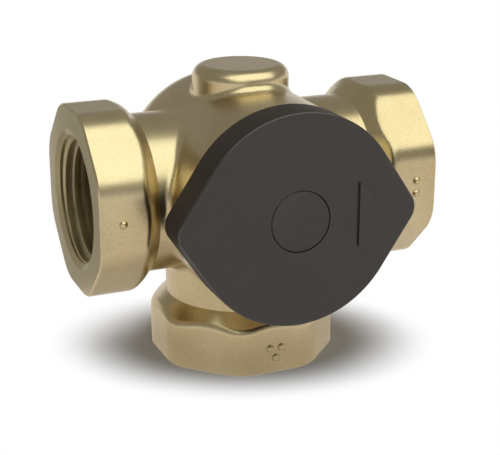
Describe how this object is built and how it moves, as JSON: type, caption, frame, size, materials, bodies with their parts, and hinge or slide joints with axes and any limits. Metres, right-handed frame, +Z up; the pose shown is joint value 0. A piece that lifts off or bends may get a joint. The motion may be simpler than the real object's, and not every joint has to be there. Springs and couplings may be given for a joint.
{
  "type": "three-port wax-element bypass valve",
  "caption": "Brass tee-shaped mixing valve with eight-sided threaded ports, a blank top boss and a dark pointed front cap with a raised arrow.",
  "frame": {"origin": "centre of the bottom port's end face, which the valve stands on", "axes": "+Z up the bottom port's axis to the blank boss, -X out of the one-dot port, +X out of the two-dot port, -Y towards the front cap"},
  "size_m": [0.093, 0.0697, 0.0787],
  "materials": {
    "cast_brass": "satin",
    "turned_brass": "satin",
    "dark_moulding": "matte",
    "black_rubber": "matte",
    "stainless": "satin",
    "pale_composite": "matte",
    "wax": "matte"
  },
  "bodies": {
    "valve": {"valve_body": "cast_brass", "front_plug": "turned_brass", "plug_o_ring": "black_rubber", "seat_cage": "pale_composite", "cage_o_ring": "black_rubber", "rear_seat_ring": "stainless", "retaining_ring": "stainless"},
    "shuttle": {"shuttle_plate": "turned_brass", "front_seat_seal": "black_rubber", "rear_seat_seal": "black_rubber", "element_cup": "turned_brass", "wax_charge": "wax", "element_diaphragm": "black_rubber", "element_guide": "turned_brass", "return_spring": "stainless"},
    "thrust_pack": {"thrust_cup": "stainless", "element_piston": "stainless", "backup_washer": "pale_composite", "rubber_plug": "black_rubber", "overtravel_spring": "stainless"},
    "cap": {"front_cap": "dark_moulding", "cap_disc": "dark_moulding"}
  },
  "joints": [
    {"name": "shuttle_stroke", "type": "slide", "parent": "valve", "child": "shuttle", "axis": [0, 1, 0], "range_m": [0, 0.007], "stiffness_N_per_m": 2500, "springref_m": -0.012, "deforming": ["return_spring"]},
    {"name": "overtravel", "type": "slide", "parent": "valve", "child": "thrust_pack", "axis": [0, -1, 0], "range_m": [0, 0.003], "stiffness_N_per_m": 20000, "springref_m": -0.008, "deforming": ["overtravel_spring"]},
    {"name": "cap_pull", "type": "slide", "parent": "valve", "child": "cap", "axis": [0, -1, 0], "range_m": [0, 0.02]}
  ]
}
